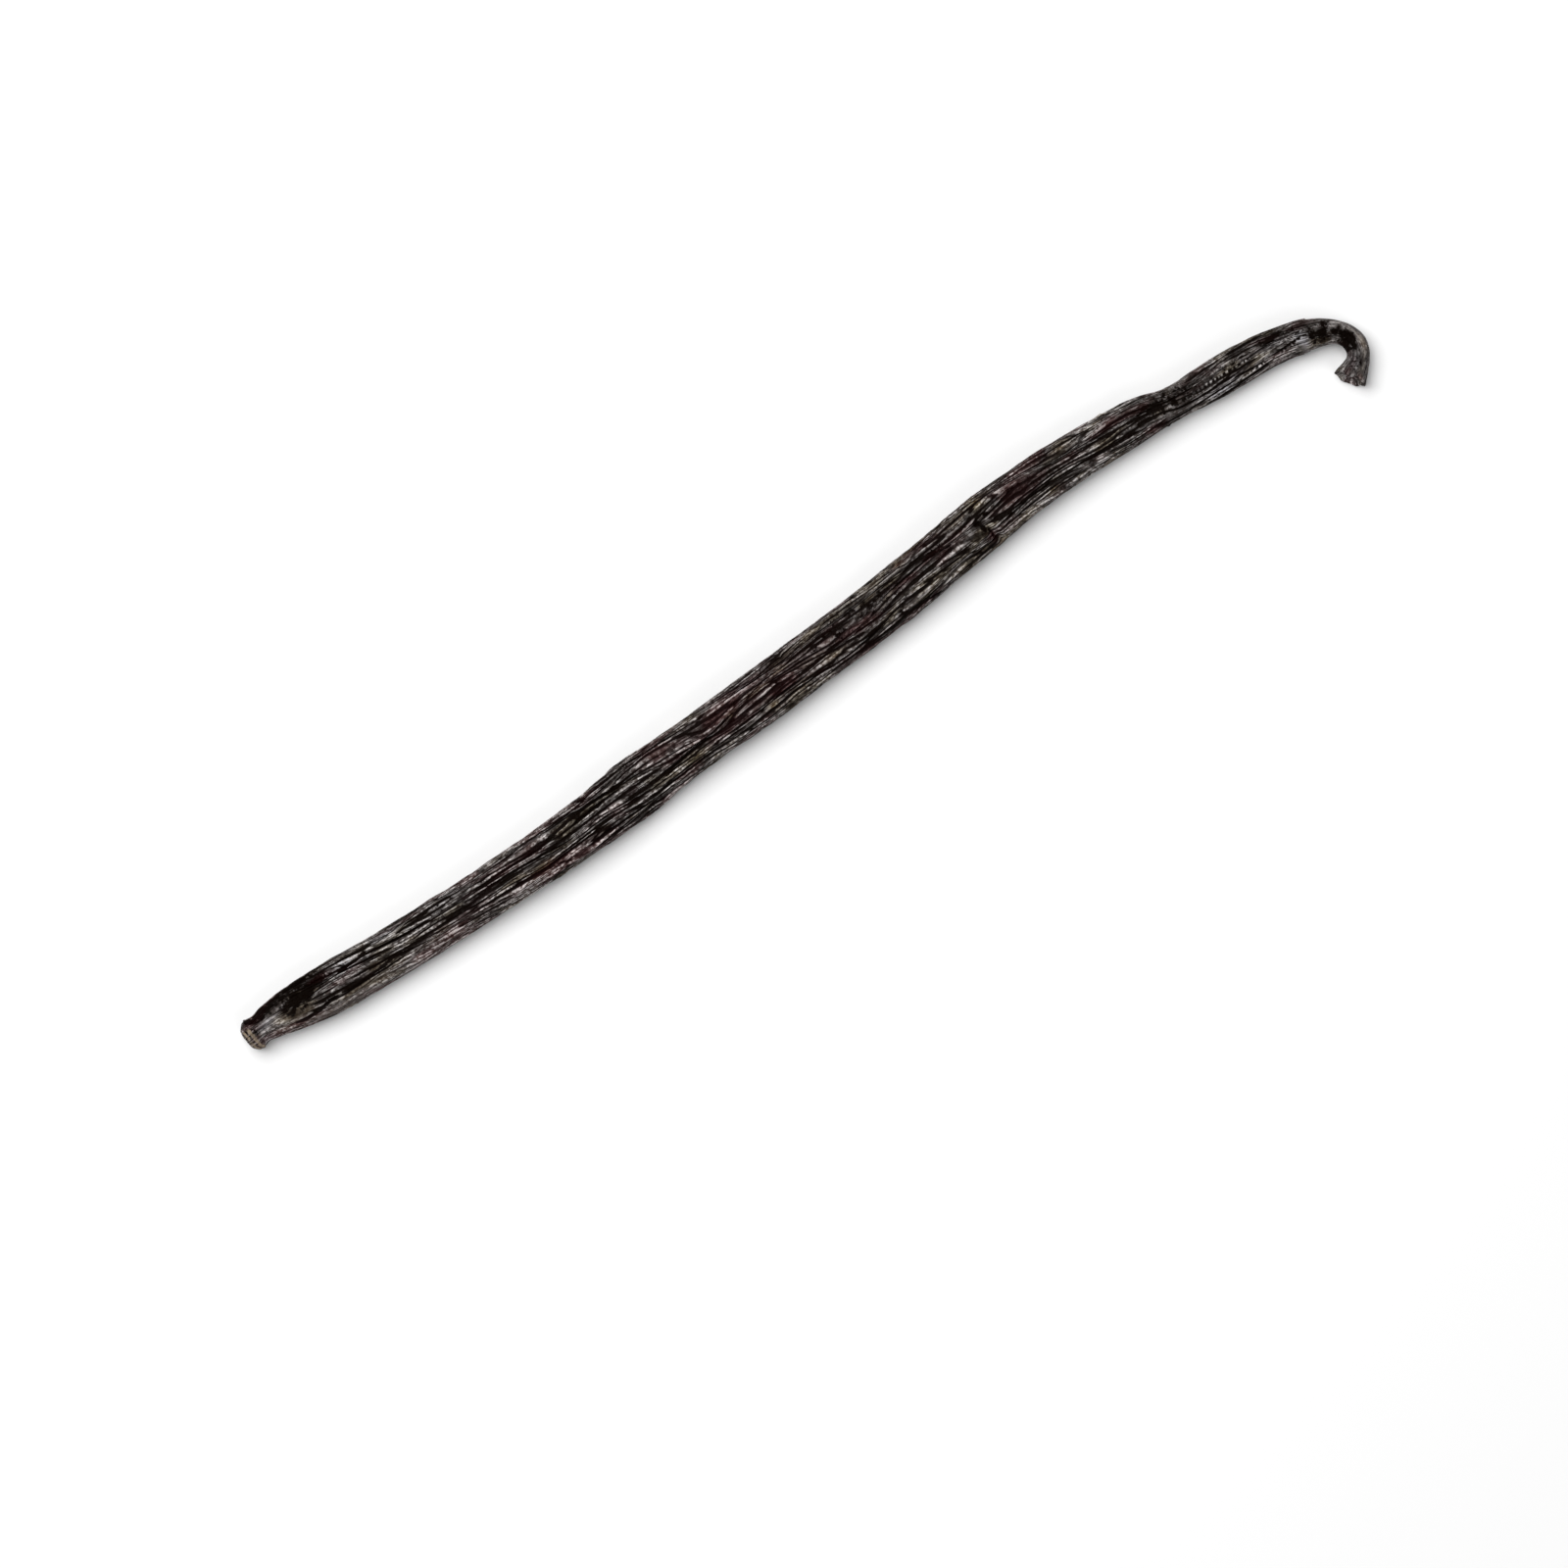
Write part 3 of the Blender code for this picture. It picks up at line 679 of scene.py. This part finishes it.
def skin(places, rows, along):
    """Points of the bean's skin in millimetres, one row for each ring, and how dark the painted shade of
    its grooves is.
    """
    track = (np.arange(FURROWS)[:, None] + np.array(FURROW_POINTS)).reshape(1, -1)
    turn = track * FURROW_GAP
    place = places[:, None]
    angle = furrow_angles(track, place) + bend(turn, place)
    sideways, height, facing = smooth_skin(rows, angle, place)
    plan = seen_from_above(rows, along, sideways)
    top = np.clip(np.sin(angle) * TOP_SHARPNESS, 0, 1)
    girth = rows[:, 2:3] / FULL_HALF_WIDTH

    swelling, share = pod_end_relief(angle, place)
    share = share * np.clip(height / PRESSED_HEIGHT, 0, 1)
    share = share * (1 - spots(angle, place, SMOOTH_PATCHES))
    furrows, slits = furrow_relief(track, place)
    wrinkles = fine_wrinkles(turn, place)
    drawn = drawn_lines(plan, top, LONG_FURROWS)
    grooves = np.maximum(girth * share * (furrows + wrinkles), drawn)
    plain = marks(plan, top, PLAIN_MARKS)
    slits = girth * share * (slits + wrinkles) * (1 - PLAIN_LINES * np.clip(plain, 0, 1))
    slits = np.maximum(slits, drawn)
    lumps = girth * (LUMP_HEIGHT * noise_round(angle, LUMP_REACH, place / LUMP_RUN, LUMP_SEED))
    lumps = lumps + girth * share * fine_bumps(turn, place)
    depth = grooves + lumps + spots(angle, place, HOLLOWS) + crease_relief(angle, place) - swelling
    depth = depth + marks(plan, top, PITS) - drawn_lines(plan, top, FOLDS) + lip_rings(place)

    sideways = sideways - depth * facing[0]
    height = np.maximum(height - depth * facing[1], 0.0)
    x, y = seen_from_above(rows, along, sideways)
    # The place on the skin, as if the bean were straight and round. It joins up under the belly.
    wrap = np.stack(np.broadcast_arrays(np.sin(turn), -np.cos(turn), place), axis=2)
    wrap[:, :, :2] *= FULL_HALF_WIDTH * girth[:, :, None]
    skin_marks = {
        # dark marks, among them painted shade in the hollow, the crease and along the back's upper side
        "dark": marks(plan, top, DARK_AND_SHADE_MARKS) + spots(angle, place, DARK_AND_SHADE_BANDS),
        "red": marks(plan, top, RED_MARKS),
        "olive": marks(plan, top, OLIVE_MARKS),
        # where painted grey sheen goes
        "grey": marks(plan, top, GREY_SHEEN_MARKS),
        "plain": plain,
        "beads": drawn_lines(plan, top, BEAD_ROWS),
        "tan": scar_tan(plan, place),
        # painted shade in the grooves
        "groove_shade": slits / GROOVE_FULL,
    }
    return np.stack([x, y, height], axis=2), wrap, skin_marks


def slant_ends(points, along, places):
    """Turns both end faces a little upwards, the blossom end's first."""
    share = 0.5 - points[:, :, 2] / points[:, :, 2].max(axis=1, keepdims=True)
    blossom_end = -END_SLANTS[0] * np.exp(-places / END_SLANT_RUN)
    stem_end = END_SLANTS[1] * np.exp((places - places[-1]) / END_SLANT_RUN)
    slant = share * (blossom_end + stem_end)[:, None]
    points[:, :, :2] += along[:, None, :] * slant[:, :, None]


def bow_blossom_end(points, along, places):
    """Draws the sides of the blossom end back, so that it looks rounded from above."""
    middle = points[:, :, :2].mean(axis=1, keepdims=True)
    normal = np.stack([-along[:, 1], along[:, 0]], axis=1)[:, None, :]
    across = ((points[:, :, :2] - middle) * normal).sum(axis=2)
    across /= np.abs(across).max(axis=1, keepdims=True)
    bow = END_BOW * (across**4 - END_BOW_MIDDLE) * np.exp(-places / END_BOW_RUN)[:, None]
    points[:, :, :2] += along[:, None, :] * bow[:, :, None]


def roughen_foot(points, along):
    """Moves the last ring in and out along the stem, so that the break is ragged."""
    turn = np.linspace(0, math.tau, points.shape[1], endpoint=False)
    ragged = FOOT_RAGGEDNESS * noise_round(turn, BREAK_REACH, 0.0, BREAK_SEED)
    points[-1, :, :2] += along[-1] * ragged[:, None]


def end_rings(ring, wrap, outward):
    """The rings that close an end, from the outer ring inwards, and their places on the skin."""
    centre, middle = ring.mean(axis=0), wrap.mean(axis=0)
    radius = np.linalg.norm(wrap[:, :2], axis=1).mean()
    direction = np.array([*outward, 0.0])
    rings, wraps = [], []
    for share, sunk in END_PROFILE:
        flat = centre + (ring - centre) * share
        rough = [noise.noise(Vector(p * END_GRAIN + END_SEED)) for p in flat]
        rings.append(flat - direction * (sunk + END_ROUGHNESS * np.array(rough)[:, None]))
        wraps.append(middle + (wrap - middle) * share - np.array([0, 0, (1 - share) * radius]))
    return np.array(rings), np.array(wraps)


def with_ends(points, wrap, skin_marks, along):
    """The whole bean as one stack of rings, with the rings that close its two ends."""
    first, first_wrap = end_rings(points[0], wrap[0], -along[0])
    last, last_wrap = end_rings(points[-1], wrap[-1], along[-1])
    count = len(first)
    padded = {}
    for name, values in skin_marks.items():
        padded[name] = np.concatenate([values[:1].repeat(count, 0), values, values[-1:].repeat(count, 0)])
    return (
        np.concatenate([first[::-1], points, last]),
        np.concatenate([first_wrap[::-1], wrap, last_wrap]),
        padded,
    )


def ring_faces(rings, around):
    """Four-sided faces between the rings, and one face over each end."""
    ring, i = np.meshgrid(np.arange(rings - 1), np.arange(around), indexing="ij")
    j = (i + 1) % around
    here = ring * around
    ahead = here + around
    sides = np.stack([here + i, here + j, ahead + j, ahead + i], axis=2).reshape(-1, 4)
    first = list(range(around))[::-1]
    last = [(rings - 1) * around + k for k in range(around)]
    return [*sides.tolist(), first, last]


def fit_to_box(points):
    """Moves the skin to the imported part's box, and keeps it inside."""
    low, high = (np.array(corner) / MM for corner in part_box("vanilla_bean"))
    mine_low, mine_high = points.min(axis=(0, 1)), points.max(axis=(0, 1))
    shrink = np.minimum(1.0, (high - low) / (mine_high - mine_low))
    points = (points - mine_low) * shrink
    spare = (high - low) - (mine_high - mine_low) * shrink
    spare[2] = 0.0
    return points + low + spare / 2


def write_marks(mesh, name, values, kind):
    attribute = mesh.attributes.new(name, kind, "POINT")
    field = "vector" if kind == "FLOAT_VECTOR" else "value"
    attribute.data.foreach_set(field, np.asarray(values, dtype=np.float32).ravel())


def bean_mesh():
    places, rows, along = spine()
    points, wrap, skin_marks = skin(places, rows, along)
    slant_ends(points, along, places)
    bow_blossom_end(points, along, places)
    roughen_foot(points, along)
    points, wrap, skin_marks = with_ends(points, wrap, skin_marks, along)
    points = fit_to_box(points)
    mesh = bpy.data.meshes.new("bean_skin")
    faces = ring_faces(*points.shape[:2])
    mesh.from_pydata((points.reshape(-1, 3) * MM).tolist(), [], faces)
    write_marks(mesh, "wrap", wrap, "FLOAT_VECTOR")
    for name, values in skin_marks.items():
        write_marks(mesh, name, values, "FLOAT")
    mesh.shade_smooth()
    mesh.validate()
    return mesh


class Shader:
    """Short ways to add and join the nodes of one material."""

    def __init__(self, name):
        self.material = bpy.data.materials.new(name)
        self.material.use_nodes = True
        self.tree = self.material.node_tree
        self.surface = self.tree.nodes["Principled BSDF"]

    def node(self, kind, inputs, **settings):
        made = self.tree.nodes.new(kind)
        for name, value in settings.items():
            setattr(made, name, value)
        for name, value in inputs.items():
            self.set(made.inputs[name], value)
        return made

    def set(self, socket, value):
        if isinstance(value, bpy.types.NodeSocket):
            self.tree.links.new(value, socket)
        else:
            socket.default_value = value

    def mark(self, name):
        return self.node("ShaderNodeAttribute", {}, attribute_name=name).outputs["Fac"]

    def noise(self, place, name):
        scale, detail, roughness = NOISES[name]
        moved = self.node("ShaderNodeVectorMath", {0: place, 1: scale}, operation="MULTIPLY")
        inputs = {"Vector": moved.outputs[0], "Scale": 1.0, "Detail": detail, "Roughness": roughness}
        return self.node("ShaderNodeTexNoise", inputs).outputs["Fac"]

    def math(self, operation, first, second):
        return self.node("ShaderNodeMath", {0: first, 1: second}, operation=operation).outputs[0]

    def stretch(self, value, limits):
        low, high, to_low, to_high = limits
        inputs = {"Value": value, "From Min": low, "From Max": high, "To Min": to_low, "To Max": to_high}
        return self.node("ShaderNodeMapRange", inputs).outputs["Result"]

    def within_one(self, value):
        """The value, held between 0 and 1."""
        return self.stretch(value, (0.0, 1.0, 0.0, 1.0))

    def cracks(self, place, scale, width, dark):
        """How dark the painted shade in the borders of long flat cells on the skin is, falling to 0 at
        their width.
        """
        part = self.node("ShaderNodeSeparateXYZ", {0: place}).outputs
        turn = self.math("ARCTAN2", part["Y"], part["X"])
        round_it = self.math("MULTIPLY", turn, FULL_HALF_WIDTH * scale[0])
        along = self.math("MULTIPLY", part["Z"], scale[1])
        flat = self.node("ShaderNodeCombineXYZ", {"X": round_it, "Y": along}).outputs[0]
        settings = {"feature": "DISTANCE_TO_EDGE", "voronoi_dimensions": "2D"}
        cells = self.node("ShaderNodeTexVoronoi", {"Vector": flat, "Scale": 1.0}, **settings)
        return self.stretch(cells.outputs["Distance"], (width * CRACK_CORE, width, dark, 0.0))

    def wave(self, place, shift, gap):
        """A wave along the bean, one to each gap, which the shift makes uneven."""
        part = self.node("ShaderNodeSeparateXYZ", {0: place}).outputs
        along = self.math("MULTIPLY", self.math("ADD", part["Z"], shift), math.tau / gap)
        return self.math("SINE", along, 0.0)

    def beads(self, place):
        """How strong the bead rows' painted highlights are, bead by bead."""
        shift = self.math("MULTIPLY", self.noise(place, "bead_shifts"), BEAD_SHIFT)
        bead = self.stretch(self.wave(place, shift, BEAD_GAP), WAVE_TO_BEAD)
        kept = self.stretch(self.noise(place, "bead_gaps"), GAPS_TO_BEAD)
        return self.math("MULTIPLY", self.mark("beads"), self.math("MULTIPLY", bead, kept))

    def scar(self, place):
        """How tan the blossom end's lip is: in rings, with uneven edges."""
        shift = self.noise(place, "scar_shifts")
        rings = self.stretch(self.wave(place, shift, SCAR_RING_GAP), WAVE_TO_SCAR)
        mottles = self.stretch(self.noise(place, "scar_mottles"), MOTTLES_TO_SCAR)
        return self.math("MULTIPLY", self.mark("tan"), self.math("MULTIPLY", rings, mottles))

    def mix(self, share, first, second, blend="MIX"):
        """The first colour, with a share of the second one blended in."""
        made = self.node("ShaderNodeMix", {}, data_type="RGBA", blend_type=blend)
        self.set(made.inputs["Factor"], share)
        self.set(made.inputs[MIX_FIRST], first)
        self.set(made.inputs[MIX_SECOND], second)
        return made.outputs[MIX_RESULT]


def skin_lines(shader, place, plain):
    """How dark the painted shade in the grooves and the cracks is."""
    cracks = shader.math("MAXIMUM", shader.cracks(place, *CRACKS), shader.cracks(place, *FINE_CRACKS))
    cracks = shader.math("MULTIPLY", cracks, shader.stretch(plain, PLAIN_TO_CRACKS))
    return shader.math("MAXIMUM", shader.stretch(shader.mark("groove_shade"), GROOVE_TO_LINE), cracks)


def skin_ridges(shader, place, grain, lines):
    """How much of the ridges shows between the painted shade of the lines and the dark marks."""
    blotches = shader.stretch(shader.noise(place, "blotches"), BLOTCHES_TO_DARK)
    dark = shader.math("MULTIPLY", shader.mark("dark"), blotches)
    dark = shader.math("ADD", dark, shader.stretch(grain, GRAIN_TO_DARK))
    dark = shader.stretch(dark, DARK_RANGE)
    return shader.math("SUBTRACT", 1.0, shader.math("MAXIMUM", lines, dark))


def skin_gloss_and_highlights(shader, place, glints, grain, ridge, rough):
    """The glossy flecks along the ridges, and the beads: where the coat's gloss is, and where pale
    highlight is painted.
    """
    gloss_and_highlight = shader.math("MULTIPLY", shader.stretch(glints, GLINTS_TO_HIGHLIGHT), ridge)
    gloss_and_highlight = shader.math("MULTIPLY", gloss_and_highlight, shader.stretch(grain, GRAIN_TO_HIGHLIGHT))
    gloss_and_highlight = shader.math("MULTIPLY", gloss_and_highlight, rough)
    return shader.math("MAXIMUM", gloss_and_highlight, shader.beads(place))


def skin_colour(shader, place, tone, gloss_and_highlight):
    """From black through brown to the pale painted highlights of the flecks, tinted red and olive in
    patches.
    """
    patches = shader.noise(place, "patches")
    red = shader.math("ADD", shader.mark("red"), shader.stretch(patches, PATCHES_TO_RED))
    red = shader.within_one(red)
    black = shader.mix(red, BLACK_BROWN, BLACK_RED)
    colour = shader.mix(tone, black, MIDDLE_BROWN)
    # painted highlights on the flecks
    colour = shader.mix(gloss_and_highlight, colour, PAINTED_HIGHLIGHT)

    tone_paleness = shader.math("MULTIPLY", tone, TONE_PALENESS)
    pale = shader.math("ADD", tone_paleness, shader.math("MULTIPLY", gloss_and_highlight, HIGHLIGHT_PALENESS))
    tinted = shader.math("MULTIPLY", red, shader.stretch(pale, PALE_TO_RED_TINT))
    colour = shader.mix(tinted, colour, RED_TINT, "MULTIPLY")
    olive = shader.math("MAXIMUM", shader.mark("olive"), shader.stretch(patches, PATCHES_TO_OLIVE))
    olive = shader.math("MULTIPLY", olive, shader.stretch(gloss_and_highlight, HIGHLIGHT_TO_OLIVE_TINT))
    colour = shader.mix(olive, colour, OLIVE_TINT, "MULTIPLY")

    # painted grey sheen where the grey marks are
    sheen_share = shader.math("MAXIMUM", gloss_and_highlight, shader.math("MULTIPLY", tone, TONE_SHEEN))
    colour = shader.mix(shader.math("MULTIPLY", shader.mark("grey"), sheen_share), colour, GREY_SHEEN)
    return shader.mix(shader.scar(place), colour, SCAR_TAN)


def set_bump(shader, grain, lines, rough):
    """Fine grain on the ridges, with the lines sunk into it."""
    grain_height = shader.math("MULTIPLY", grain, rough)
    height = shader.math("SUBTRACT", grain_height, shader.math("MULTIPLY", lines, LINE_HEIGHT))
    bump = shader.node("ShaderNodeBump", {"Height": height, "Distance": BUMP_DISTANCE, "Strength": 1.0})
    shader.set(shader.surface.inputs["Normal"], bump.outputs["Normal"])
    shader.set(shader.surface.inputs["Coat Normal"], bump.outputs["Normal"])


def pod_finish():
    shader = Shader("cured_pod")
    place = shader.node("ShaderNodeAttribute", {}, attribute_name="wrap").outputs["Vector"]
    glints = shader.noise(place, "glints")
    grain = shader.noise(place, "grain")
    plain = shader.math("MINIMUM", shader.mark("plain"), 1.0)
    rough = shader.math("SUBTRACT", 1.0, plain)

    lines = skin_lines(shader, place, plain)
    ridge = skin_ridges(shader, place, grain, lines)
    tone = shader.math("MULTIPLY", shader.stretch(glints, GLINTS_TO_TONE), ridge)
    # where the flecks of painted highlight are, which also hold the coat's gloss
    gloss_and_highlight = skin_gloss_and_highlights(shader, place, glints, grain, ridge, rough)
    surface = shader.surface.inputs
    shader.set(surface["Base Color"], skin_colour(shader, place, tone, gloss_and_highlight))
    shader.set(surface["Coat Weight"], shader.stretch(gloss_and_highlight, HIGHLIGHT_TO_COAT))
    shader.set(surface["Roughness"], shader.stretch(grain, GRAIN_TO_ROUGHNESS))
    set_bump(shader, grain, lines, rough)
    surface["Coat Roughness"].default_value = COAT_ROUGHNESS
    surface["Specular IOR Level"].default_value = SPECULAR
    return shader.material


def floor_finish():
    shader = Shader("floor")
    place = shader.node("ShaderNodeTexCoord", {}).outputs["Object"]
    away = shader.node("ShaderNodeVectorMath", {0: place}, operation="LENGTH").outputs["Value"]
    glow = shader.stretch(away, (GLOW_START, GLOW_FULL, 0.0, FLOOR_GLOW))
    surface = shader.surface.inputs
    shader.set(surface["Emission Strength"], glow)
    surface["Emission Color"].default_value = SKY_COLOUR
    surface["Base Color"].default_value = FLOOR_COLOUR
    surface["Roughness"].default_value = FLOOR_ROUGHNESS
    surface["Specular IOR Level"].default_value = FLOOR_SPECULAR
    return shader.material


def add_object(name, data):
    made = bpy.data.objects.new(name, data)
    bpy.context.scene.collection.objects.link(made)
    return made


def build_bean():
    mesh = bean_mesh()
    mesh.materials.append(pod_finish())
    bean = add_object("bean_skin", mesh)
    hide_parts("vanilla_bean")
    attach(bean, "root")


def build_floor():
    half = FLOOR_SIZE * MM / 2
    mesh = bpy.data.meshes.new("floor")
    corners = [(-half, -half, 0), (half, -half, 0), (half, half, 0), (-half, half, 0)]
    mesh.from_pydata(corners, [], [(0, 1, 2, 3)])
    mesh.materials.append(floor_finish())
    add_object("floor", mesh)


def aim(thing, at):
    direction = Vector(at) - thing.location
    thing.rotation_euler = direction.to_track_quat("-Z", "Y").to_euler()


def build_light():
    world = bpy.data.worlds.new("studio")
    world.use_nodes = True
    background = world.node_tree.nodes["Background"]
    background.inputs["Color"].default_value = SKY_COLOUR
    background.inputs["Strength"].default_value = SKY_STRENGTH
    bpy.context.scene.world = world
    for name, place, size, power in SOFT_BOXES:
        data = bpy.data.lights.new(name, "AREA")
        data.size = size * MM
        data.energy = power
        box = add_object(name, data)
        box.location = Vector(place) * MM
        aim(box, (0.0, 0.0, 0.0))


def build_camera():
    data = bpy.data.cameras.new("camera")
    data.lens = CAMERA_LENS
    camera = add_object("camera", data)
    camera.location = Vector((*CAMERA_AT, CAMERA_HEIGHT)) * MM
    camera.rotation_euler = (0.0, 0.0, math.radians(CAMERA_TURN))
    bpy.context.scene.camera = camera
    bpy.context.scene.view_settings.view_transform = "Standard"


build_bean()
build_floor()
build_light()
build_camera()
